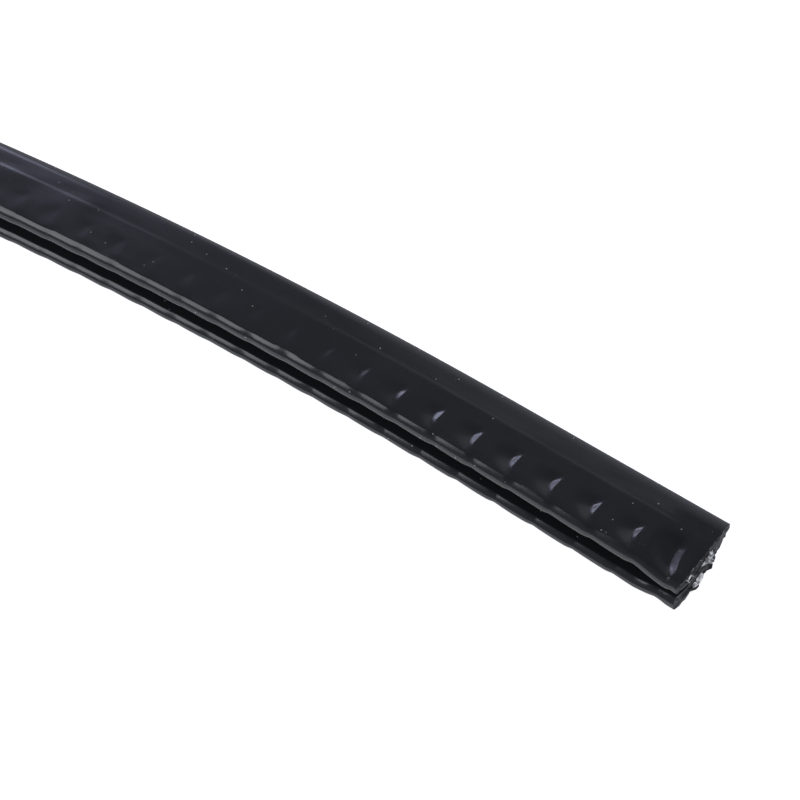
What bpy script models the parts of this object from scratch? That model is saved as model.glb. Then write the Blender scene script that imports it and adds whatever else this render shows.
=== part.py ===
"""Edge trim seal: a U-shaped PVC extrusion that grips a panel's edge, over a stamped steel carrier.

The strip lies on one leg, with its mouth towards -Y and its cut end at +X. Most of it is straight
along X. Near the cut end it keeps a slight set towards its mouth, as stock from a coil does, and
at the cut itself the legs are squeezed together, as snips leave them.
A section is drawn as (depth, height): depth runs from the back of the spine to the lips, and
height runs from the outer face of the lower leg to the outer face of the upper one.
"""

import math

import bmesh
import bpy

# The strip, in metres
LENGTH = 1.0
DEPTH = 0.0145
WIDTH = 0.0095
LEG_WALL = 0.00265
SPINE_WALL = 0.0030
SPINE_RADIUS = 0.0028
LIP_OUTER_RADIUS = 0.0007
LIP_INNER_RADIUS = 0.0005
SLOT_RADIUS = 0.0009

# Its slight set, counted from the cut end
CUT_END_STRAIGHT = 0.0375
SET_LENGTH = 0.1125
SET_RADIUS = 1.0

# The squeeze at the cut end
SQUEEZE_LENGTH = 0.009
SQUEEZED_MOUTH = 0.0021
UPPER_LEG_SHARE = 0.52

# The carrier: one stamped strip, folded to a U, with the gaps in one leg between those in the other
SHEET = 0.0005
SHEET_BEND_RADIUS = 0.0011
TIP_COVER = 0.0013
FINGER_PITCH = 0.0075
FINGER_GAP = 0.0020
FIRST_GAP = 0.0016
GAP_ROOT = 0.0055
CARRIER_CLEARANCE = 0.0003

# How finely the sweeps and the corners are stepped
SQUEEZE_STEPS = 6
SET_STEPS = 15
STRAIGHT_STEPS = 23
WIDE_ARC_STEPS = 5
SMALL_ARC_STEPS = 3

CUTTER_OVERRUN = 0.004
MOUTH = WIDTH - 2 * LEG_WALL
SET_END = CUT_END_STRAIGHT + SET_LENGTH
SET_ANGLE = SET_LENGTH / SET_RADIUS


def path(distance):
    """The back of the spine at this distance from the cut end: x, y, and the turn from +X."""
    if distance >= SET_END:
        return SET_END - distance, 0.0, 0.0
    turn = min((SET_END - distance) / SET_RADIUS, SET_ANGLE)
    beyond = max(CUT_END_STRAIGHT - distance, 0.0)
    x = SET_RADIUS * math.sin(turn) + beyond * math.cos(turn)
    y = -SET_RADIUS * (1 - math.cos(turn)) - beyond * math.sin(turn)
    return x, y, turn


def frame_origin():
    """The middle of the strip's outer box on the floor, in the path's own coordinates."""
    cut_x, cut_y, turn = path(0.0)
    far_x = path(LENGTH)[0]
    lip_y = cut_y - DEPTH * math.cos(turn)
    return (cut_x + far_x) / 2, lip_y / 2


ORIGIN_X, ORIGIN_Y = frame_origin()


def squeeze(distance, depth, height):
    """How far the snips pushed a leg towards the other one, more at the lips than at the spine."""
    if distance >= SQUEEZE_LENGTH or depth <= SPINE_WALL:
        return 0.0
    nearness = min(1.0, 1 - distance / SQUEEZE_LENGTH)
    ease = nearness ** 2 * (3 - 2 * nearness)
    reach = (depth - SPINE_WALL) / (DEPTH - SPINE_WALL)
    closing = (MOUTH - SQUEEZED_MOUTH) * ease * reach
    if height > WIDTH / 2:
        return -closing * UPPER_LEG_SHARE
    return closing * (1 - UPPER_LEG_SHARE)


def place(distance, depth, height):
    """A point of the section at this distance from the cut end, in the part's frame."""
    x, y, turn = path(distance)
    x -= depth * math.sin(turn)
    y -= depth * math.cos(turn)
    return x - ORIGIN_X, y - ORIGIN_Y, height + squeeze(distance, depth, height)


def arc(depth, height, radius, first, last, steps):
    """Points on a round corner, from one angle to another in degrees."""
    points = []
    for step in range(steps + 1):
        angle = math.radians(first + (last - first) * step / steps)
        points.append((depth + radius * math.cos(angle), height + radius * math.sin(angle)))
    return points


def mirrored(points):
    """The same points on the other leg, in reverse order."""
    return [(depth, WIDTH - height) for depth, height in reversed(points)]


def cover_section():
    """The U of the PVC: rounded spine, flat legs, lips with soft edges, and the panel slot."""
    spine = arc(SPINE_RADIUS, SPINE_RADIUS, SPINE_RADIUS, 270, 180, WIDE_ARC_STEPS)
    root = min(SLOT_RADIUS, MOUTH / 3)
    slot = arc(SPINE_WALL + root, LEG_WALL + root, root, 180, 270, SMALL_ARC_STEPS)
    inner_depth = DEPTH - LIP_INNER_RADIUS
    outer_depth = DEPTH - LIP_OUTER_RADIUS
    lip = arc(inner_depth, LEG_WALL - LIP_INNER_RADIUS, LIP_INNER_RADIUS, 90, 0, SMALL_ARC_STEPS)
    lip += arc(outer_depth, LIP_OUTER_RADIUS, LIP_OUTER_RADIUS, 0, -90, SMALL_ARC_STEPS)
    lower = slot + lip + spine
    return lower + mirrored(lower)


def folded_sheet(room):
    """A U of sheet metal in the middle of the PVC's walls, or with room round it, its pocket."""
    leg_cover = (LEG_WALL - SHEET) / 2 - room
    spine_cover = (SPINE_WALL - SHEET) / 2 - room
    thickness = SHEET + 2 * room
    inner_radius = SHEET_BEND_RADIUS - room
    outer_radius = inner_radius + thickness
    tip = DEPTH - TIP_COVER + room
    bend = (spine_cover + outer_radius, leg_cover + outer_radius)
    inner = arc(*bend, inner_radius, 180, 270, WIDE_ARC_STEPS)
    outer = arc(*bend, outer_radius, 270, 180, WIDE_ARC_STEPS)
    lower = inner + [(tip, leg_cover + thickness), (tip, leg_cover)] + outer
    return lower + mirrored(lower)


def stations(overrun):
    """Distances from the cut end at which a sweep has a section."""
    distances = [SQUEEZE_LENGTH * step / SQUEEZE_STEPS for step in range(SQUEEZE_STEPS + 1)]
    distances += [CUT_END_STRAIGHT + SET_LENGTH * step / SET_STEPS for step in range(SET_STEPS + 1)]
    run = LENGTH - SET_END
    distances += [SET_END + run * step / STRAIGHT_STEPS for step in range(1, STRAIGHT_STEPS + 1)]
    if overrun:
        distances = [-overrun] + distances + [LENGTH + overrun]
    return sorted(set(distances))


def material(name, colour, roughness, metallic):
    """A plain finish for one sub-part."""
    made = bpy.data.materials.new(name)
    made.use_nodes = True
    shader = made.node_tree.nodes["Principled BSDF"]
    shader.inputs["Base Color"].default_value = (*colour, 1.0)
    shader.inputs["Roughness"].default_value = roughness
    shader.inputs["Metallic"].default_value = metallic
    return made


def new_object(name, mesh_data, finish=None):
    """Turns a bmesh into an object of the scene, with its faces pointing out."""
    bmesh.ops.recalc_face_normals(mesh_data, faces=mesh_data.faces)
    mesh = bpy.data.meshes.new(name)
    mesh_data.to_mesh(mesh)
    mesh_data.free()
    made = bpy.data.objects.new(name, mesh)
    bpy.context.scene.collection.objects.link(made)
    if finish:
        mesh.materials.append(finish)
        mesh.shade_smooth()
        mesh.set_sharp_from_angle(angle=math.radians(30))
    return made


def sweep(name, section, distances, finish=None):
    """A closed solid of this section along the strip's path."""
    mesh_data = bmesh.new()
    rings = []
    for distance in distances:
        ring = [mesh_data.verts.new(place(distance, depth, height)) for depth, height in section]
        rings.append(ring)
    count = len(section)
    for near, far in zip(rings, rings[1:]):
        for i in range(count):
            j = (i + 1) % count
            mesh_data.faces.new((near[i], near[j], far[j], far[i]))
    mesh_data.faces.new(rings[0])
    mesh_data.faces.new(reversed(rings[-1]))
    return new_object(name, mesh_data, finish)


def add_gap(mesh_data, distance, low, high):
    """A box for one gap between two fingers, at this distance, from one height to another."""
    x, y, turn = path(distance)
    open_depth = DEPTH + CUTTER_OVERRUN
    rings = []
    for height in (low, high):
        ring = []
        for side, depth in ((-1, GAP_ROOT), (1, GAP_ROOT), (1, open_depth), (-1, open_depth)):
            along = side * FINGER_GAP / 2
            corner_x = x + along * math.cos(turn) - depth * math.sin(turn) - ORIGIN_X
            corner_y = y - along * math.sin(turn) - depth * math.cos(turn) - ORIGIN_Y
            ring.append(mesh_data.verts.new((corner_x, corner_y, height)))
        rings.append(ring)
    bottom, top = rings
    for i in range(4):
        j = (i + 1) % 4
        mesh_data.faces.new((bottom[i], bottom[j], top[j], top[i]))
    mesh_data.faces.new(bottom)
    mesh_data.faces.new(top)


def finger_gaps():
    """The gaps between the carrier's fingers: the lower leg's lie halfway between the upper leg's."""
    mesh_data = bmesh.new()
    upper = (FIRST_GAP, WIDTH / 2, WIDTH + CUTTER_OVERRUN)
    lower = (FIRST_GAP + FINGER_PITCH / 2, -CUTTER_OVERRUN, WIDTH / 2)
    for first, low, high in (upper, lower):
        count = int((LENGTH - first - FINGER_GAP) / FINGER_PITCH) + 1
        for i in range(count):
            add_gap(mesh_data, first + i * FINGER_PITCH, low, high)
    return new_object("finger_gaps", mesh_data)


def cut(target, cutter):
    """Subtracts a helper object, which is then hidden."""
    cutter.hide_render = True
    cutter.display_type = "WIRE"
    modifier = target.modifiers.new("cut_by_" + cutter.name, "BOOLEAN")
    modifier.operation = "DIFFERENCE"
    modifier.object = cutter


def build_cover():
    """The PVC extrusion, with the pocket that the carrier lies in open at both ends."""
    black = material("black_pvc", (0.012, 0.012, 0.014), 0.38, 0.0)
    cover = sweep("pvc_cover", cover_section(), stations(0.0), black)
    pocket = sweep("carrier_pocket", folded_sheet(CARRIER_CLEARANCE), stations(CUTTER_OVERRUN))
    cut(cover, pocket)


def build_carrier():
    """The stamped steel strip inside, joined along the spine and split into fingers in the legs."""
    steel = material("zinc_plated_steel", (0.62, 0.63, 0.65), 0.35, 1.0)
    carrier = sweep("steel_carrier", folded_sheet(0.0), stations(0.0), steel)
    cut(carrier, finger_gaps())


def clear_scene():
    for old in list(bpy.data.objects):
        bpy.data.objects.remove(old)


clear_scene()
build_cover()
build_carrier()
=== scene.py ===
"""The looks of the edge trim seal: its PVC skin with the carrier's marks, and the torn cut end."""

import math

import bmesh
import bpy
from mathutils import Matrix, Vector, noise


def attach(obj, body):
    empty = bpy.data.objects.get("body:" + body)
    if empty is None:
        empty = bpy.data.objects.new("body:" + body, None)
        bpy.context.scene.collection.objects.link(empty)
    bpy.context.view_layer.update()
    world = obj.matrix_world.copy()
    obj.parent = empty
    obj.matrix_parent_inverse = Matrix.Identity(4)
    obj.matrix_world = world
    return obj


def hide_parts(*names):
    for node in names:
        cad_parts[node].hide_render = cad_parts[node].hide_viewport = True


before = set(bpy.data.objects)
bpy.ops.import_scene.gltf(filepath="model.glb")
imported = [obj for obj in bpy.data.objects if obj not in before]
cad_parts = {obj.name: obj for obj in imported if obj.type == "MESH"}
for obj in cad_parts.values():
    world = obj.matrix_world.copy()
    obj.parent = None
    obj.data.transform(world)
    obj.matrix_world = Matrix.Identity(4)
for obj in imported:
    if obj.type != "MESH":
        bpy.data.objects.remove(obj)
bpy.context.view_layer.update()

# The strip's sizes in millimetres: all as in part.py, but for the spine's radius, which is tighter here
MM = 0.001
LENGTH = 1000.0
DEPTH = 14.5
WIDTH = 9.5
LEG_WALL = 2.65
SPINE_WALL = 3.0
SPINE_RADIUS = 2.5
SLOT_RADIUS = 0.9
CUT_END_STRAIGHT = 37.5
SET_LENGTH = 112.5
SET_RADIUS = 1000.0
SHEET = 0.5
SHEET_BEND_RADIUS = 1.1
TIP_COVER = 1.3
FINGER_PITCH = 7.5
FINGER_GAP = 2.0
FIRST_GAP = 1.6
GAP_ROOT = 5.5

SET_END = CUT_END_STRAIGHT + SET_LENGTH
SET_ANGLE = SET_LENGTH / SET_RADIUS

# A point this close to a face counts as on it
TOLERANCE = 0.01

# How far the snips pushed each leg towards the other one, and from where to where along it
UPPER_DROP = 1.1
UPPER_DROP_SPAN = (9.2, 3.0)
LOWER_RISE = 0.5
LOWER_RISE_SPAN = (8.5, 4.5)
LOWER_LIFT = 0.15
LOWER_LIFT_SPAN = (50.0, 25.0)

# How far they made the lower lip bulge into the mouth, along how much of it, and in which part of the lip
LIP_BULGE = 0.35
LIP_BULGE_SPAN = (0.5, 8.0)
LIP_BULGE_RISE = (1.2, 2.8)

# The lips: a slanting outer edge, a blunt nose, and an inner edge that is round above and slanting below
LIP_START = 12.6
EDGE_DEPTH = 14.15
EDGE_TILT = -56.0
OUTER_TURNS = ((3.3, -44.0, 4), (1.1, 0.0, 6))
UPPER_INNER_TURNS = ((1.1, 90.0, 8),)
LOWER_INNER_TURNS = ((0.35, 26.0, 3), (2.4, 48.0, 5), (0.5, 90.0, 4))
UPPER_LIP = 3.17
LOWER_LIP = 2.9
BEAD_START = 12.2
BEAD_RISE = 0.05

# The lips' waves, one to a finger. Each of their sizes has a value near the cut and one far from it
WAVE_SHAPE_SPAN = (35.0, 70.0)
WAVE_RISE = (0.22, 0.35)
WAVE_POWER = (2.2, 1.6)
WAVE_SIZE_SPAN = (30.0, 75.0)
WAVE_IN = (0.16, 0.112)
WAVE_OFF_FACE = (0.16, 0.064)
WAVE_OUTER_SIDE = (0.2, 1.6)
WAVE_INNER_SIDE = (1.6, 3.0)

# Each lip's first valley, how uneven the lips are besides, and how far into them a finger's mark goes
UPPER_VALLEY = 1.3
LOWER_VALLEY = 3.95
LIP_UNEVENNESS = 0.06
LIP_MARK_RISE = 2.2

# The crease where the spine ends and the fingers start, and the slope of the skin over the spine
CREASE_FROM = 5.3
CREASE_TO = 6.0
CREASE_STEP = 0.05
CREASE_EASE = 0.6
SPINE_TILT = (0.085, 0.03)
SPINE_TILT_SPAN = (20.0, 90.0)

# How the skin over the fingers lies below the plain section
FACE_START = (2.8, 5.0)
FACE_SINK = 0.015
FACE_UNEVENNESS = 0.045

# The fingers' marks: crescents that fall off behind a bowed crest and recover before the next one
FIRST_CREST = 2.3
FACET_LINE = 0.4
FACET_LEAD = 0.6
FIRST_MARK_SPAN = (7.2, 9.4)

# Their sizes, for most fingers and for the first one, at the cut, which has the longest mark
MARK_START = (8.3, 6.6)
MARK_FULL = (10.4, 8.9)
MARK_FADE = (10.4, 12.1)
MARK_END = (14.1, 15.8)
CREST_MIDDLE = (11.1, 9.6)
CREST_HALF_LENGTH = (2.4, 3.8)
CREST_BOW = (0.6, 0.8)
FALL_WIDTH = (1.1, 1.32)
FALL_POWER = (1.25, 1.0)
RECOVERY_START = (0.99, 1.188)
RECOVERY_END = (4.69, 6.528)

# How deep the marks are: everywhere, near the cut, at the first finger, and by chance
MARK_DEPTH = 0.05
NEAR_MARK_DEPTH = 0.40
NEAR_MARK_SPAN = (25.0, 85.0)
FIRST_MARK_DEPTH = 0.18
MARK_WAVER = 0.03

# The cut: the snips went in at the spine and came out further back at the lips
CUT_BLEND = 3.0
SLANT_POWER = 1.5
UPPER_SLANT = 1.0
UPPER_LEAST_SHARE = 0.1
BEVEL = 1.4
NOSE_START = 11.0
LOWER_SLANT = 0.95
LOWER_LEAST_SHARE = 0.35
CORNER_LOSS = 0.3
CORNER_START = 13.2
CORNER_HEIGHT = 1.4
SPINE_LOSS = 0.25
SPINE_LOSS_HEIGHT = (3.0, 8.0)
SPINE_LOSS_DEPTH = (2.0, 5.0)

# The raggedness of the cut's rim and of its face, and two nubs of PVC that stand out of it
RAGGEDNESS = 0.16
FINE_RAGGEDNESS = 0.6
TEAR = 0.22
FINE_TEAR = 0.14
TEAR_SINK = 0.05
NUBS = ((4.8, 1.4), (9.0, 0.9))
NUB_REACH = 0.85
NUB_SPREAD = 0.65

# The noise in all these: how fast it changes per millimetre, and the seeds that keep its uses apart
WAVER_SCALE = 0.021
WAVER_SEED = 3.1
FACE_SCALE_ALONG = 0.14
FACE_SCALE_ACROSS = 0.25
LIP_SCALE = 0.16
UPPER_LIP_SEED = 5.0
LOWER_LIP_SEED = 9.0
RIM_SCALE = 1.3
RIM_SEED = 2.0
RIM_FINER = 3.1
TEAR_SCALE = 1.7
TEAR_SEED = 6.0
TEAR_FINER = 2.7

# The slit round the carrier's sheet, and the glossy skin that the snips rolled over the cut's upper edge
SLIT_CLEARANCE = 0.06
SLIT_LENGTH = 6.0
ROLLED_EDGE = 0.5

# How finely the skin is stepped round its section
BACK_STEPS = 3
SPINE_STEPS = 9
LOWER_FACE_STEPS = 15
UPPER_FACE_STEPS = 42
BEAD_STEPS = 5
ROOT_STEPS = 3

# How finely it is stepped along the strip, and across its cut faces
FIRST_RINGS = (0.0, 0.15, 0.3)
FINE_START = 0.4
FINE_PITCHES = 12
CREST_LEAD = 0.2
CREST_STRETCH = 2.4
CREST_STEPS = 14
BETWEEN_STEPS = 9
MEDIUM_PITCHES = 10
MEDIUM_STEPS = 14
COARSE_STEPS = 4
FACE_SHARES = (0.2, 0.6, 1.0)

# The carrier's start inside the cut end, and its torn slivers
CARRIER_START = 0.4
BEND_STEPS = 4
FLAKE_ROWS = 16
FLAKE_COLUMNS = 6
FLAKE_ROOT = 0.9
FLAKE_HALF_SHEET = 0.07
FLAKE_EDGE = (0.6, 0.9)
FLAKE_EDGE_SCALE = 1.9
CRUMPLE_OUT = 0.15
CRUMPLE_UP = 0.35
CRUMPLE_SCALE_DEPTH = 1.6
CRUMPLE_SCALE_OUT = 1.5
CRUMPLE_SEED = 4.0
FINE_CRUMPLE = 0.5
FINE_CRUMPLE_SCALE = 4.0

# Faces that meet at more than this many degrees keep a sharp edge
SHARP_ANGLE = 32

# The camera, placed from the cut end: along the strip, towards the mouth, and up
CAMERA_SPOT = (-25.5, 123.2, 200.7)
CAMERA_TARGET = (58.9, 6.5, 0.0)
CAMERA_LENS = 64.57
CAMERA_TURN = 35.88

# The studio's floor, and how far the soft boxes stand from the points of the strip that they aim at
FLOOR_HALF_SIZE = 40.0
FLOOR_DROP = 0.0002
FLOOR_GLOW = 0.9
BOX_DISTANCE = 0.65
BOX_TARGET = (70.0, 7.0, 0.0)
NEAR_BOX_TARGET = (14.0, 7.0, 0.0)

# The studio tent: its radiance from -1, straight down, to 1, straight up, its colour and its bright side
TENT_FLOOR = (1.0, 1.0, 1.0, 1.0)
TENT_TOP = (0.13, 0.134, 0.165, 1.0)
TENT_COLOUR = (0.92, 0.95, 1.08)
TENT_BRIGHT_SIDE = (0.6, 0.8, 0.0)
TENT_BELOW = ((-0.8, 1.0), (-0.55, 0.3), (-0.05, 0.27))
TENT_ABOVE = ((0.08, 0.40), (0.35, 0.36), (0.55, 0.2), (0.7, 0.1), (0.85, 0.14))


def smooth(low, high, value):
    """0 on low's side, 1 on high's side, and a soft step between."""
    t = min(max((value - low) / (high - low), 0.0), 1.0)
    return t * t * (3 - 2 * t)


def blend(values, share):
    """The value at this share of the way from the first of two to the second."""
    return values[0] + (values[1] - values[0]) * share


def path(distance):
    """The back of the spine at this distance from the cut end: x, y, and the turn from +X."""
    if distance >= SET_END:
        return SET_END - distance, 0.0, 0.0
    turn = min((SET_END - distance) / SET_RADIUS, SET_ANGLE)
    beyond = max(CUT_END_STRAIGHT - distance, 0.0)
    x = SET_RADIUS * math.sin(turn) + beyond * math.cos(turn)
    y = -SET_RADIUS * (1 - math.cos(turn)) - beyond * math.sin(turn)
    return x, y, turn


CUT_X, CUT_Y, CUT_TURN = path(0.0)
ORIGIN_X = (CUT_X + path(LENGTH)[0]) / 2
ORIGIN_Y = (CUT_Y - DEPTH * math.cos(CUT_TURN)) / 2


def squeeze(distance, depth, height):
    """How far the snips pushed this point up or down."""
    reach = max(depth - SPINE_WALL, 0.0) / (DEPTH - SPINE_WALL)
    if height > WIDTH / 2:
        return -UPPER_DROP * smooth(*UPPER_DROP_SPAN, distance) * reach
    rise = LOWER_RISE * smooth(*LOWER_RISE_SPAN, distance)
    rise += LOWER_LIFT * smooth(*LOWER_LIFT_SPAN, distance)
    return rise * reach


def place(distance, depth, height):
    """A point of the section at this distance from the cut end, in metres in the part's frame."""
    x, y, turn = path(distance)
    x -= depth * math.sin(turn)
    y -= depth * math.cos(turn)
    z = height + squeeze(distance, depth, height)
    return Vector((x - ORIGIN_X, y - ORIGIN_Y, z)) * MM


def arc(depth, height, radius, first, last, steps):
    """Points on a round corner, from one angle to another in degrees."""
    points = []
    for step in range(steps + 1):
        angle = math.radians(first + (last - first) * step / steps)
        points.append((depth + radius * math.cos(angle), height + radius * math.sin(angle)))
    return points


def line(start, end, steps):
    """Points between two others, without them."""
    points = []
    for step in range(1, steps):
        t = step / steps
        points.append((start[0] + (end[0] - start[0]) * t, start[1] + (end[1] - start[1]) * t))
    return points


def chain(start, tilt, turns):
    """Arcs that follow on from a point: each turn is a radius, the tilt it ends at, and its steps."""
    points = [start]
    for radius, last, steps in turns:
        depth, rise = points[-1]
        first = math.radians(tilt)
        for step in range(1, steps + 1):
            angle = math.radians(tilt + (last - tilt) * step / steps)
            out = radius * (math.cos(angle) - math.cos(first))
            points.append((depth + out, rise + radius * (math.sin(angle) - math.sin(first))))
        tilt = last
    return points


def lip(thickness, inner_turns):
    """One lip's outline, from the outer face's edge round its nose to its inner face."""
    outer = chain((EDGE_DEPTH, 0.0), EDGE_TILT, OUTER_TURNS)
    nose = outer[-1]
    inner = chain((nose[0], 0.0), 0.0, inner_turns)
    start = thickness - inner[-1][1]
    flat = line(nose, (nose[0], start), 2)
    return outer + flat + [(depth, start + rise) for depth, rise in inner]


def half_outline(face_steps, *lip_shape):
    """The lower half of the skin's section, from the middle of the back to the slot's root."""
    back = line((0.0, WIDTH / 2), (0.0, SPINE_RADIUS), BACK_STEPS)
    spine = arc(SPINE_RADIUS, SPINE_RADIUS, SPINE_RADIUS, 180, 270, SPINE_STEPS)
    face = line((SPINE_RADIUS, 0.0), (EDGE_DEPTH, 0.0), face_steps)
    bead = (BEAD_START, LEG_WALL + BEAD_RISE)
    corner = SPINE_WALL + SLOT_RADIUS
    slot = [bead] + line(bead, (corner, LEG_WALL), BEAD_STEPS)
    slot += arc(corner, LEG_WALL + SLOT_RADIUS, SLOT_RADIUS, 270, 180, ROOT_STEPS)
    return back + spine + face + lip(*lip_shape) + slot


def outline():
    """The whole section: the lower half, then the upper one back to the start."""
    lower = half_outline(LOWER_FACE_STEPS, LOWER_LIP, LOWER_INNER_TURNS)
    upper = half_outline(UPPER_FACE_STEPS, UPPER_LIP, UPPER_INNER_TURNS)
    upper = [(depth, WIDTH - height) for depth, height in upper]
    return lower + [(SPINE_WALL, WIDTH / 2)] + upper[::-1] + [(0.0, WIDTH / 2)]


def first_finger(distance):
    """1 over the first finger, at the cut, and 0 over the others."""
    return 1 - smooth(*FIRST_MARK_SPAN, distance)


def mark_depth(distance):
    """How strongly the fingers show through: most at the cut end, little further on."""
    near = 1 - smooth(*NEAR_MARK_SPAN, distance)
    waver = 0.5 + noise.noise(Vector((distance * WAVER_SCALE, WAVER_SEED, 0.0)))
    depth = MARK_DEPTH + NEAR_MARK_DEPTH * near + FIRST_MARK_DEPTH * first_finger(distance)
    return depth + MARK_WAVER * waver


def finger_mark(distance, depth):
    """How deep the skin lies below its crest over a finger's edge, in millimetres."""
    first = first_finger(distance)
    start = smooth(blend(MARK_START, first), blend(MARK_FULL, first), depth)
    end = smooth(blend(MARK_FADE, first), blend(MARK_END, first), depth)
    window = start * (1 - end)
    if window <= 0.0:
        return 0.0
    off_middle = (depth - blend(CREST_MIDDLE, first)) / blend(CREST_HALF_LENGTH, first)
    bow = blend(CREST_BOW, first) * (1 - off_middle ** 2)
    phase = (distance - FIRST_CREST - bow) % FINGER_PITCH
    width = blend(FALL_WIDTH, first)
    # The first mark's facet is flat, from a straight line across the leg and not from the bowed crest
    facet = first * (bow - FACET_LINE) / width
    fall = 1 - max(1 - phase / width, 0.0) ** blend(FALL_POWER, first) + facet
    recovery = smooth(blend(RECOVERY_START, first), blend(RECOVERY_END, first), phase)
    ahead = facet * smooth(FACET_LEAD * FINGER_PITCH, FINGER_PITCH, phase)
    return mark_depth(distance) * window * (fall * (1 - recovery) + ahead)


def lip_wave(distance, valley):
    """1 where a finger pushes the lip out, falling to 0 in the sharp valley before the next one."""
    phase = (distance - valley) % FINGER_PITCH
    far = smooth(*WAVE_SHAPE_SPAN, distance)
    rise_end = blend(WAVE_RISE, far) * FINGER_PITCH
    if phase < rise_end:
        return smooth(0.0, rise_end, phase)
    return 1 - ((phase - rise_end) / (FINGER_PITCH - rise_end)) ** blend(WAVE_POWER, far)


def spine_fall(distance, depth):
    """How far the skin over the spine lies below the skin over the fingers, in millimetres."""
    tilt = blend(SPINE_TILT, smooth(*SPINE_TILT_SPAN, distance))
    spine_side = 1 - smooth(CREASE_FROM, CREASE_TO, depth)
    beyond = max(CREASE_FROM + CREASE_EASE - depth, 0.0)
    if beyond < 2 * CREASE_EASE:
        return CREASE_STEP * spine_side + tilt * beyond ** 2 / (4 * CREASE_EASE)
    return CREASE_STEP * spine_side + tilt * (beyond - CREASE_EASE)


def face_relief(distance, depth):
    """How deep an outer face lies below the plain section, in millimetres."""
    spot = Vector((distance * FACE_SCALE_ALONG, depth * FACE_SCALE_ACROSS, 0.0))
    uneven = FACE_UNEVENNESS * noise.noise(spot)
    relief = (FACE_SINK + uneven) * smooth(*FACE_START, depth) + finger_mark(distance, depth)
    return relief + spine_fall(distance, depth)


def lip_relief(distance, depth, rise, upper):
    """How far a point of a lip lies further in, and further from the outer face, than in the section."""
    reach = smooth(LIP_START, EDGE_DEPTH, depth)
    wave = 1 - lip_wave(distance, UPPER_VALLEY if upper else LOWER_VALLEY)
    seed = UPPER_LIP_SEED if upper else LOWER_LIP_SEED
    uneven = abs(noise.noise(Vector((distance * LIP_SCALE, seed, 0.0))))
    far = smooth(*WAVE_SIZE_SPAN, distance)
    inward = (blend(WAVE_IN, far) * wave + LIP_UNEVENNESS * uneven) * reach
    outer = 1 - smooth(*WAVE_OUTER_SIDE, rise)
    inner = smooth(*WAVE_INNER_SIDE, rise)
    off_face = blend(WAVE_OFF_FACE, far) * wave * (outer - inner) * reach
    if rise >= TOLERANCE:
        off_face += finger_mark(distance, EDGE_DEPTH) * (1 - smooth(0.0, LIP_MARK_RISE, rise))
    if not upper:
        bulge = LIP_BULGE * (1 - smooth(*LIP_BULGE_SPAN, distance))
        off_face += bulge * smooth(*LIP_BULGE_RISE, rise) * reach
    return inward, off_face


def skin_point(distance, depth, height):
    """A point of the section with its relief. Its rise is measured from its leg's outer face."""
    upper = height > WIDTH / 2
    rise = WIDTH - height if upper else height
    new_depth = depth
    new_rise = rise
    if rise < TOLERANCE and depth >= SPINE_RADIUS:
        new_rise += face_relief(distance, depth)
    elif depth < SPINE_RADIUS and rise < SPINE_RADIUS:
        new_rise += spine_fall(distance, SPINE_RADIUS) * (1 - rise / SPINE_RADIUS)
    if depth > LIP_START:
        inward, off_face = lip_relief(distance, depth, rise, upper)
        new_depth -= inward
        new_rise += off_face
    new_height = WIDTH - new_rise if upper else new_rise
    return place(cut_shift(distance, depth, height), new_depth, new_height)


def cut_slant(depth, height):
    """How far back the cut lies: least on the upper leg's inner side and the lower leg's outer side."""
    far_out = (max(depth, 0.0) / EDGE_DEPTH) ** SLANT_POWER
    if height > WIDTH / 2:
        outside = max(smooth(WIDTH - BEVEL, WIDTH, height), smooth(NOSE_START, EDGE_DEPTH, depth))
        slant = UPPER_SLANT * far_out * blend((UPPER_LEAST_SHARE, 1.0), outside)
    else:
        inside = smooth(0.0, LOWER_LIP, height)
        slant = LOWER_SLANT * far_out * blend((LOWER_LEAST_SHARE, 1.0), inside)
        corner = smooth(CORNER_START, DEPTH, depth) * (1 - smooth(0.0, CORNER_HEIGHT, height))
        slant += CORNER_LOSS * corner
    spine = (1 - smooth(*SPINE_LOSS_HEIGHT, height)) * (1 - smooth(*SPINE_LOSS_DEPTH, depth))
    return slant + SPINE_LOSS * spine


def cut_shift(distance, depth, height):
    """Where a ring near the cut end really lies: slanted and ragged, as the snips left it."""
    if distance >= CUT_BLEND:
        return distance
    spot = Vector((depth * RIM_SCALE, height * RIM_SCALE, RIM_SEED))
    ragged = RAGGEDNESS * (noise.noise(spot) + FINE_RAGGEDNESS * noise.noise(spot * RIM_FINER))
    for nub_depth, nub_height in NUBS:
        away = (depth - nub_depth) ** 2 + (height - nub_height) ** 2
        ragged -= NUB_REACH * math.exp(-away / NUB_SPREAD)
    nearness = 1 - distance / CUT_BLEND
    return distance + (cut_slant(depth, height) + ragged) * nearness


def slit_point(depth, height):
    """The point of the slit round the carrier's sheet that belongs to this point of the section."""
    upper = height > WIDTH / 2
    rise = WIDTH - height if upper else height
    room = SHEET / 2 + SLIT_CLEARANCE
    radius = SHEET_BEND_RADIUS + SHEET / 2
    bend = Vector((SPINE_WALL / 2 + radius, LEG_WALL / 2 + radius))
    corner = Vector((SPINE_WALL + SLOT_RADIUS, LEG_WALL + SLOT_RADIUS))
    point = Vector((depth, rise))
    at_root = SPINE_WALL - TOLERANCE < depth < corner.x + TOLERANCE
    at_leg = LEG_WALL - TOLERANCE < rise < corner.y + TOLERANCE
    if at_root and at_leg:
        new_point = bend + (point - corner).normalized() * (radius - room)
    else:
        if depth > bend.x and rise < corner.y:
            core = Vector((min(depth, DEPTH - TIP_COVER - SHEET / 2), LEG_WALL / 2))
        elif rise < bend.y:
            core = bend + (point - bend).normalized() * radius
        else:
            core = Vector((SPINE_WALL / 2, rise))
        new_point = core + (point - core).normalized() * room
    return new_point.x, WIDTH - new_point.y if upper else new_point.y


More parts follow.
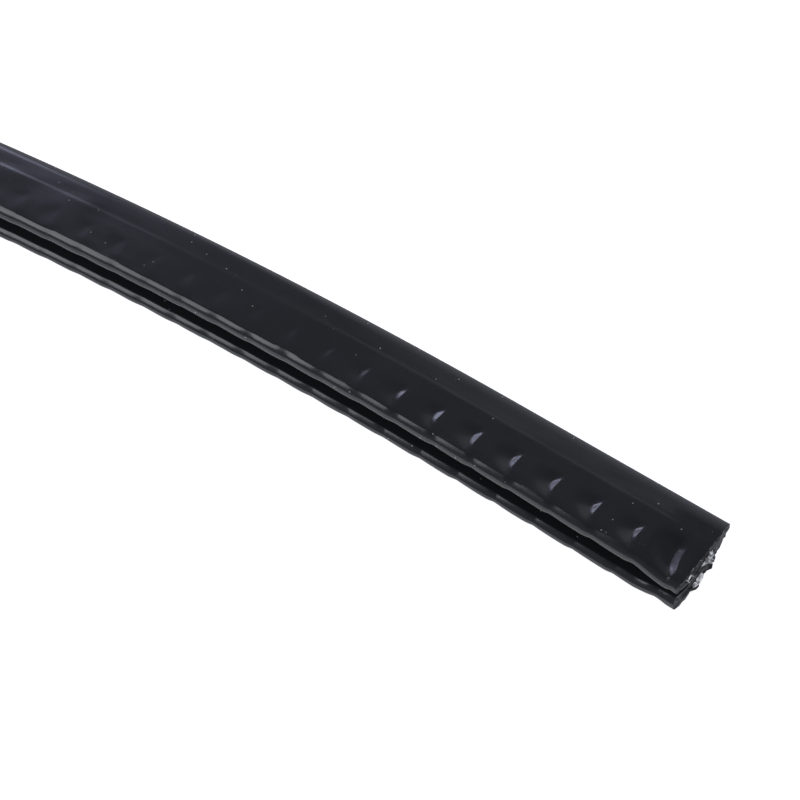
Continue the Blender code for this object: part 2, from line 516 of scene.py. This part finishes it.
def stations():
    """Distances of the skin's rings: closest where a finger's edge shows, coarse far from the cut."""
    fine = []
    between = FINGER_PITCH - CREST_STRETCH
    for pitch in range(FINE_PITCHES):
        start = FIRST_CREST - CREST_LEAD + (pitch - 1) * FINGER_PITCH
        fine += [start + CREST_STRETCH * i / CREST_STEPS for i in range(CREST_STEPS)]
        fine += [start + CREST_STRETCH + between * i / BETWEEN_STEPS for i in range(BETWEEN_STEPS)]
    start = FIRST_CREST - CREST_LEAD + (FINE_PITCHES - 1) * FINGER_PITCH
    fine += [start + FINGER_PITCH * i / MEDIUM_STEPS for i in range(MEDIUM_STEPS * MEDIUM_PITCHES + 1)]
    fine = list(FIRST_RINGS) + [distance for distance in fine if distance > FINE_START]
    rest = LENGTH - fine[-1]
    steps = round(rest / FINGER_PITCH * COARSE_STEPS)
    coarse = [fine[-1] + rest * i / steps for i in range(1, steps + 1)]
    return fine, coarse


def join_rings(mesh_data, near, far, finish=0):
    """Four-sided faces between two rings of as many points, in one of the skin's two finishes."""
    count = len(near)
    faces = []
    for i in range(count):
        j = (i + 1) % count
        made = mesh_data.faces.new((near[i], near[j], far[j], far[i]))
        made.material_index = finish
        faces.append(made)
    return faces


def thin_out(mesh_data, dense, sparse):
    """Three-sided faces from a ring to one with every second point."""
    count = len(dense)
    half = len(sparse)
    for k in range(half):
        a, b, c = dense[2 * k], dense[(2 * k + 1) % count], dense[(2 * k + 2) % count]
        here, after = sparse[k], sparse[(k + 1) % half]
        mesh_data.faces.new((a, b, here))
        mesh_data.faces.new((b, after, here))
        if 2 * k + 1 < count:
            mesh_data.faces.new((b, c, after))


def torn_face(distance, depth, height):
    """Where a point of the snipped face lies: rougher than its rim."""
    spot = Vector((depth * TEAR_SCALE, height * TEAR_SCALE, TEAR_SEED))
    torn = TEAR * noise.noise(spot) + FINE_TEAR * noise.noise(spot * TEAR_FINER)
    return cut_shift(distance, depth, height) - TEAR_SINK + torn


def sawn_face(distance, depth, height):
    """Where a point of the far end's face lies: this end is cut square."""
    return distance


def close_end(mesh_data, rim, section, distance, inward, face):
    """One end's cut face. Where it has an inward length, the slit for the carrier stays open."""
    outer = rim
    for share in FACE_SHARES:
        inner = []
        for depth, height in section:
            slit_depth, slit_height = slit_point(depth, height)
            new_depth = depth + (slit_depth - depth) * share
            new_height = height + (slit_height - height) * share
            there = face(distance, new_depth, new_height)
            inner.append(mesh_data.verts.new(place(there, new_depth, new_height)))
        faces = join_rings(mesh_data, outer, inner, 1)
        if outer is rim and not inward:
            for rolled, (depth, height) in zip(faces, section):
                if height > WIDTH - ROLLED_EDGE:
                    rolled.material_index = 0
        outer = inner
    if inward:
        deep = [mesh_data.verts.new(place(distance + inward, *slit_point(*point))) for point in section]
        join_rings(mesh_data, outer, deep, 1)
        outer = deep
    mesh_data.faces.new(outer).material_index = 1


def build_skin():
    """The PVC extrusion as one mesh: smeared over the carrier at the cut end, with its slit at the other."""
    section = outline()
    sparse = section[::2]
    fine, coarse = stations()
    mesh_data = bmesh.new()
    rings = []
    for distance in fine:
        rings.append([mesh_data.verts.new(skin_point(distance, *point)) for point in section])
    for near, far in zip(rings, rings[1:]):
        join_rings(mesh_data, near, far)
    far_rings = []
    for distance in coarse:
        far_rings.append([mesh_data.verts.new(skin_point(distance, *point)) for point in sparse])
    thin_out(mesh_data, rings[-1], far_rings[0])
    for near, far in zip(far_rings, far_rings[1:]):
        join_rings(mesh_data, near, far)
    close_end(mesh_data, rings[0], section, 0.0, 0.0, torn_face)
    close_end(mesh_data, far_rings[-1], sparse, LENGTH, -SLIT_LENGTH, sawn_face)
    return new_object("pvc_skin", mesh_data)


def new_object(name, mesh_data):
    """Turns a bmesh into a smooth-shaded object of the scene, with its faces pointing out."""
    bmesh.ops.recalc_face_normals(mesh_data, faces=mesh_data.faces)
    mesh = bpy.data.meshes.new(name)
    mesh_data.to_mesh(mesh)
    mesh_data.free()
    made = bpy.data.objects.new(name, mesh)
    bpy.context.scene.collection.objects.link(made)
    mesh.shade_smooth()
    mesh.set_sharp_from_angle(angle=math.radians(SHARP_ANGLE))
    return made


def add_sheet(mesh_data, outer, inner, cells):
    """A sheet between two grids of points: two faces for each cell, and one at each of its open edges."""
    for row, column in cells:
        corners = ((row, column), (row + 1, column), (row + 1, column + 1), (row, column + 1))
        mesh_data.faces.new([outer[i][j] for i, j in corners])
        mesh_data.faces.new([inner[i][j] for i, j in reversed(corners)])
        neighbours = ((row, column - 1), (row + 1, column), (row, column + 1), (row - 1, column))
        for k, neighbour in enumerate(neighbours):
            if neighbour not in cells:
                (a, b), (c, d) = corners[k], corners[(k + 1) % 4]
                mesh_data.faces.new((outer[a][b], inner[a][b], inner[c][d], outer[c][d]))


def crumple(depth, out, seed):
    """How much a torn sliver is bent at a point, up or down: noise of two sizes."""
    spot = Vector((depth * CRUMPLE_SCALE_DEPTH, out * CRUMPLE_SCALE_OUT, seed + CRUMPLE_SEED))
    fine_spot = Vector((depth * FINE_CRUMPLE_SCALE, out * FINE_CRUMPLE_SCALE, seed))
    return noise.noise(spot) + FINE_CRUMPLE * noise.noise(fine_spot)


def flake_row(depth, edge, height, reach, lift, seed):
    """Points of a torn sliver's middle, from inside the cut end to its ragged edge."""
    least, more = FLAKE_EDGE
    ragged = least + more * abs(noise.noise(Vector((depth * FLAKE_EDGE_SCALE, seed, 0.0))))
    points = []
    for column in range(FLAKE_COLUMNS + 1):
        out = column / FLAKE_COLUMNS
        distance = FLAKE_ROOT - (FLAKE_ROOT + reach * edge * ragged) * out
        bend = crumple(depth, out, seed)
        new_height = height + lift * out + CRUMPLE_UP * bend * out
        points.append((distance, depth + CRUMPLE_OUT * bend * out, new_height))
    return points


def add_flake(mesh_data, depths, height, reach, lift, seed):
    """A torn sliver of the carrier's sheet that sticks out of the cut, crumpled and ragged."""
    rows = []
    for row in range(FLAKE_ROWS + 1):
        share = row / FLAKE_ROWS
        edge = math.sin(math.pi * share) ** 0.5
        rows.append(flake_row(blend(depths, share), edge, height, reach, lift, seed))
    sides = []
    for offset in (FLAKE_HALF_SHEET, -FLAKE_HALF_SHEET):
        grid = []
        for points in rows:
            grid.append([mesh_data.verts.new(place(away, out, up + offset)) for away, out, up in points])
        sides.append(grid)
    cells = {(row, column) for row in range(FLAKE_ROWS) for column in range(FLAKE_COLUMNS)}
    add_sheet(mesh_data, *sides, cells)


def build_flakes():
    """The carrier's bright torn edge in the snipped end: slivers of the upper leg and of the lower one."""
    mesh_data = bmesh.new()
    add_flake(mesh_data, (5.6, 9.2), height=8.75, reach=0.7, lift=-0.6, seed=1.0)
    add_flake(mesh_data, (11.7, 13.0), height=9.0, reach=-0.55, lift=-0.1, seed=2.0)
    add_flake(mesh_data, (6.8, 10.0), height=2.2, reach=0.75, lift=-0.6, seed=3.0)
    add_flake(mesh_data, (3.4, 5.2), height=3.2, reach=0.8, lift=-0.5, seed=4.0)
    return new_object("torn_steel_edge", mesh_data)


def sheet_line():
    """The carrier's section as its middle line: points with their outward normals, tip to tip."""
    radius = SHEET_BEND_RADIUS + SHEET / 2
    bend = (SPINE_WALL / 2 + radius, LEG_WALL / 2 + radius)
    lower = [((depth, LEG_WALL / 2), (0.0, -1.0)) for depth in (DEPTH - TIP_COVER, GAP_ROOT)]
    for step in range(BEND_STEPS + 1):
        angle = math.radians(270 - 90 * step / BEND_STEPS)
        normal = (math.cos(angle), math.sin(angle))
        lower.append(((bend[0] + radius * normal[0], bend[1] + radius * normal[1]), normal))
    upper = [((depth, WIDTH - height), (out, -up)) for (depth, height), (out, up) in reversed(lower)]
    return lower + upper


def finger_gaps(lower_leg, upper_leg):
    """Where the gaps between the fingers are: the leg, and from which distance to which."""
    gaps = []
    for leg, first in ((lower_leg, FIRST_GAP + FINGER_PITCH / 2), (upper_leg, FIRST_GAP)):
        count = int((LENGTH - first - FINGER_GAP) / FINGER_PITCH) + 1
        for i in range(count):
            middle = first + i * FINGER_PITCH
            gaps.append((leg, middle - FINGER_GAP / 2, middle + FINGER_GAP / 2))
    return gaps


def build_carrier():
    """The carrier's sheet with its fingers. The first part of both its legs is torn off at the cut."""
    section = sheet_line()
    legs = (0, len(section) - 2)
    gaps = finger_gaps(*legs)
    edges = {round(edge, 4) for gap in gaps for edge in gap[1:] if edge > FIRST_GAP}
    columns = sorted({CARRIER_START, LENGTH} | edges)
    cells = {(column, row) for column in range(len(columns) - 1) for row in range(len(section) - 1)}
    for leg, low, high in gaps:
        for column in range(len(columns) - 1):
            middle = (columns[column] + columns[column + 1]) / 2
            if low < middle < high:
                cells.discard((column, leg))
    for column in range(len(columns) - 1):
        if columns[column] < FIRST_GAP:
            cells -= {(column, leg) for leg in legs}
    mesh_data = bmesh.new()
    sides = []
    for side in (SHEET / 2, -SHEET / 2):
        grid = []
        for column in columns:
            grid.append([mesh_data.verts.new(place(column, depth + side * out, height + side * up))
                         for (depth, height), (out, up) in section])
        sides.append(grid)
    add_sheet(mesh_data, *sides, cells)
    loose = [vert for vert in mesh_data.verts if not vert.link_faces]
    bmesh.ops.delete(mesh_data, geom=loose, context="VERTS")
    return new_object("steel_strip", mesh_data)


def new_material(name):
    """A material, its nodes and links, its shader, and the output that gives the place on the object."""
    made = bpy.data.materials.new(name)
    made.use_nodes = True
    nodes = made.node_tree.nodes
    spot = nodes.new("ShaderNodeTexCoord").outputs["Object"]
    return made, nodes, made.node_tree.links, nodes["Principled BSDF"], spot


def noise_node(nodes, links, source, scale, detail):
    """Noise on this vector output: its value, mostly from 0.3 to 0.7."""
    made = nodes.new("ShaderNodeTexNoise")
    made.inputs["Scale"].default_value = scale
    made.inputs["Detail"].default_value = detail
    links.new(source, made.inputs["Vector"])
    return made.outputs["Fac"]


def range_node(nodes, links, source, low, high):
    """Noise's value, mapped from 0.3 and 0.7 to another range."""
    made = nodes.new("ShaderNodeMapRange")
    made.inputs["From Min"].default_value = 0.3
    made.inputs["From Max"].default_value = 0.7
    made.inputs["To Min"].default_value = low
    made.inputs["To Max"].default_value = high
    links.new(source, made.inputs["Value"])
    return made.outputs["Result"]


def tint_node(nodes, links, share, first, second):
    """The colour between two others that this share gives."""
    made = nodes.new("ShaderNodeMix")
    made.data_type = "RGBA"
    made.inputs["A"].default_value = (*first, 1.0)
    made.inputs["B"].default_value = (*second, 1.0)
    links.new(share, made.inputs["Factor"])
    return made.outputs["Result"]


def bump_node(nodes, links, height, strength):
    """A bump of two hundredths of a millimetre at full strength."""
    made = nodes.new("ShaderNodeBump")
    made.inputs["Strength"].default_value = strength
    made.inputs["Distance"].default_value = 0.02 * MM
    links.new(height, made.inputs["Height"])
    return made


def pvc_material():
    """Black extruded PVC: faint lines along the strip, uneven gloss, a fine grain and some dust."""
    made, nodes, links, shader, spot = new_material("black_pvc_finish")
    stretch = nodes.new("ShaderNodeMapping")
    stretch.inputs["Scale"].default_value = (0.04, 1.0, 1.0)
    links.new(spot, stretch.inputs["Vector"])

    gloss = noise_node(nodes, links, spot, scale=90.0, detail=3.0)
    roughness = range_node(nodes, links, gloss, low=0.18, high=0.26)
    links.new(roughness, shader.inputs["Roughness"])

    grain = noise_node(nodes, links, spot, scale=2600.0, detail=2.0)
    fine = bump_node(nodes, links, grain, strength=0.25)
    lines = noise_node(nodes, links, stretch.outputs["Vector"], scale=1500.0, detail=2.0)
    long = bump_node(nodes, links, lines, strength=0.3)
    links.new(fine.outputs["Normal"], long.inputs["Normal"])
    links.new(long.outputs["Normal"], shader.inputs["Normal"])

    specks = nodes.new("ShaderNodeTexVoronoi")
    specks.inputs["Scale"].default_value = 420.0
    links.new(spot, specks.inputs["Vector"])
    near = nodes.new("ShaderNodeMapRange")
    near.inputs["From Min"].default_value = 0.06
    near.inputs["From Max"].default_value = 0.035
    links.new(specks.outputs["Distance"], near.inputs["Value"])
    tint = tint_node(nodes, links, near.outputs["Result"], (0.027, 0.0272, 0.0305), (0.5, 0.5, 0.49))
    links.new(tint, shader.inputs["Base Color"])
    return made


def cut_material():
    """The same PVC where it was cut: dull, with paler scuffs."""
    made, nodes, links, shader, spot = new_material("black_pvc_cut")
    shader.inputs["Roughness"].default_value = 0.6
    shader.inputs["Specular IOR Level"].default_value = 0.3
    scuffs = noise_node(nodes, links, spot, scale=1400.0, detail=3.0)
    share = range_node(nodes, links, scuffs, low=0.0, high=1.0)
    tint = tint_node(nodes, links, share, (0.012, 0.012, 0.013), (0.085, 0.085, 0.088))
    links.new(tint, shader.inputs["Base Color"])
    return made


def steel_material():
    """Bright zinc-plated strip, with lighter and darker spangle and uneven gloss."""
    made, nodes, links, shader, spot = new_material("carrier_steel_finish")
    shader.inputs["Metallic"].default_value = 1.0
    spangle = noise_node(nodes, links, spot, scale=900.0, detail=4.0)
    roughness = range_node(nodes, links, spangle, low=0.22, high=0.48)
    links.new(roughness, shader.inputs["Roughness"])
    tint = tint_node(nodes, links, spangle, (0.72, 0.72, 0.71), (0.95, 0.945, 0.93))
    links.new(tint, shader.inputs["Base Color"])
    return made


def along_cut_end(along, mouth, up):
    """A point given from the cut end: along the strip, towards the mouth, and up, in millimetres."""
    away = Vector((-math.cos(CUT_TURN), math.sin(CUT_TURN), 0.0))
    out = Vector((-math.sin(CUT_TURN), -math.cos(CUT_TURN), 0.0))
    start = place(0.0, 0.0, 0.0)
    return start + (away * along + out * mouth + Vector((0.0, 0.0, up))) * MM


def view_direction(right, away, up):
    """A direction given in the camera's frame: to its right, away from it, and up."""
    turn = math.radians(CAMERA_TURN) - CUT_TURN
    to_right = Vector((math.cos(turn), math.sin(turn), 0.0))
    straight_on = Vector((-math.sin(turn), math.cos(turn), 0.0))
    return (to_right * right + straight_on * away + Vector((0.0, 0.0, up))).normalized()


def build_camera():
    """The camera, which looks down at the cut end."""
    camera_data = bpy.data.cameras.new("camera")
    camera_data.sensor_width = 36.0
    camera_data.lens = CAMERA_LENS
    camera_data.clip_start = 0.01
    camera = bpy.data.objects.new("camera", camera_data)
    bpy.context.scene.collection.objects.link(camera)
    camera.location = along_cut_end(*CAMERA_SPOT)
    target = along_cut_end(*CAMERA_TARGET)
    camera.rotation_euler = (target - camera.location).to_track_quat("-Z", "Y").to_euler()
    bpy.context.scene.camera = camera


def build_floor():
    """A plain white floor that glows, so that shadows are faint. Reflections show the tent in its place."""
    mesh_data = bmesh.new()
    bmesh.ops.create_grid(mesh_data, x_segments=1, y_segments=1, size=FLOOR_HALF_SIZE)
    mesh = bpy.data.meshes.new("floor")
    mesh_data.to_mesh(mesh)
    mesh_data.free()
    floor = bpy.data.objects.new("floor", mesh)
    bpy.context.scene.collection.objects.link(floor)
    floor.location.z = -FLOOR_DROP
    floor.visible_glossy = False
    made = bpy.data.materials.new("floor_white")
    made.use_nodes = True
    shader = made.node_tree.nodes["Principled BSDF"]
    shader.inputs["Base Color"].default_value = (0.8, 0.8, 0.8, 1.0)
    shader.inputs["Roughness"].default_value = 0.9
    shader.inputs["Emission Color"].default_value = (1.0, 1.0, 1.0, 1.0)
    shader.inputs["Emission Strength"].default_value = FLOOR_GLOW
    mesh.materials.append(made)


def soft_box(name, direction, degrees, radiance, colour, target=BOX_TARGET, spread=180.0):
    """A soft box in this direction from its target, as wide and high as these angles.

    A narrower spread lights only what lies round the target, with the same radiance there.
    """
    middle = along_cut_end(*target)
    width, height = (2 * BOX_DISTANCE * math.tan(math.radians(size / 2)) for size in degrees)
    light_data = bpy.data.lights.new(name, "AREA")
    light_data.shape = "RECTANGLE"
    light_data.size = width
    light_data.size_y = height
    light_data.energy = radiance * math.pi * width * height
    if spread < 180.0:
        half = math.radians(spread / 2)
        light_data.spread = 2 * half
        light_data.energy *= (math.tan(half) - half) / math.tan(half)
    light_data.color = colour
    light = bpy.data.objects.new(name, light_data)
    bpy.context.scene.collection.objects.link(light)
    light.location = middle + view_direction(*direction) * BOX_DISTANCE
    light.rotation_euler = (middle - light.location).to_track_quat("-Z", "Y").to_euler()
    light.visible_camera = False


def build_tent():
    """The studio tent as the world: dark overhead, and brighter behind the strip than in front of it."""
    world = bpy.data.worlds.new("studio")
    bpy.context.scene.world = world
    world.use_nodes = True
    nodes = world.node_tree.nodes
    links = world.node_tree.links
    direction = nodes.new("ShaderNodeTexCoord").outputs["Generated"]
    split = nodes.new("ShaderNodeSeparateXYZ")
    links.new(direction, split.inputs["Vector"])
    height = nodes.new("ShaderNodeMapRange")
    height.inputs["From Min"].default_value = -1.0
    links.new(split.outputs["Z"], height.inputs["Value"])
    ramp = nodes.new("ShaderNodeValToRGB")
    links.new(height.outputs["Result"], ramp.inputs["Fac"])
    stops = ramp.color_ramp.elements
    stops[0].position = 0.0
    stops[0].color = TENT_FLOOR
    stops[1].position = 1.0
    stops[1].color = TENT_TOP
    for up, radiance in TENT_BELOW + TENT_ABOVE:
        stop = stops.new((up + 1) / 2)
        stop.color = (*[radiance * share for share in TENT_COLOUR], 1.0)
    behind = nodes.new("ShaderNodeVectorMath")
    behind.operation = "DOT_PRODUCT"
    behind.inputs[1].default_value = view_direction(*TENT_BRIGHT_SIDE)
    links.new(direction, behind.inputs[0])
    side = nodes.new("ShaderNodeMapRange")
    side.inputs["From Min"].default_value = -0.8
    side.inputs["From Max"].default_value = 0.9
    side.inputs["To Min"].default_value = 0.45
    side.inputs["To Max"].default_value = 1.5
    links.new(behind.outputs["Value"], side.inputs["Value"])
    links.new(ramp.outputs["Color"], nodes["Background"].inputs["Color"])
    links.new(side.outputs["Result"], nodes["Background"].inputs["Strength"])


def build_light():
    """The studio tent, and the soft boxes in it that the strip's skin reflects."""
    bpy.context.scene.view_settings.view_transform = "Standard"
    build_tent()
    soft_box("left_box", (-0.85, -0.235, 0.47), (26, 36), 3.45, (0.90, 0.93, 1.0))
    soft_box("back_box", (-0.45, 0.85, 0.26), (21, 15), 5.6, (0.70, 0.73, 1.0))
    soft_box("near_box", (-0.27, 0.818, 0.5), (15, 17), 10.5, (0.70, 0.73, 1.0), NEAR_BOX_TARGET, 18.0)
    soft_box("high_box", (0.32, 0.72, 0.616), (32, 24), 0.4, (0.9, 0.93, 1.0))
    soft_box("right_box", (0.9, -0.15, 0.4), (24, 20), 1.1, (0.93, 0.95, 1.0))


build_camera()
build_floor()
build_light()
steel = steel_material()

skin = build_skin()
skin.data.materials.append(pvc_material())
skin.data.materials.append(cut_material())
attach(skin, "root")
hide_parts("pvc_cover")

flakes = build_flakes()
flakes.data.materials.append(steel)
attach(flakes, "root")

carrier = build_carrier()
carrier.data.materials.append(steel)
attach(carrier, "root")
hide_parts("steel_carrier")
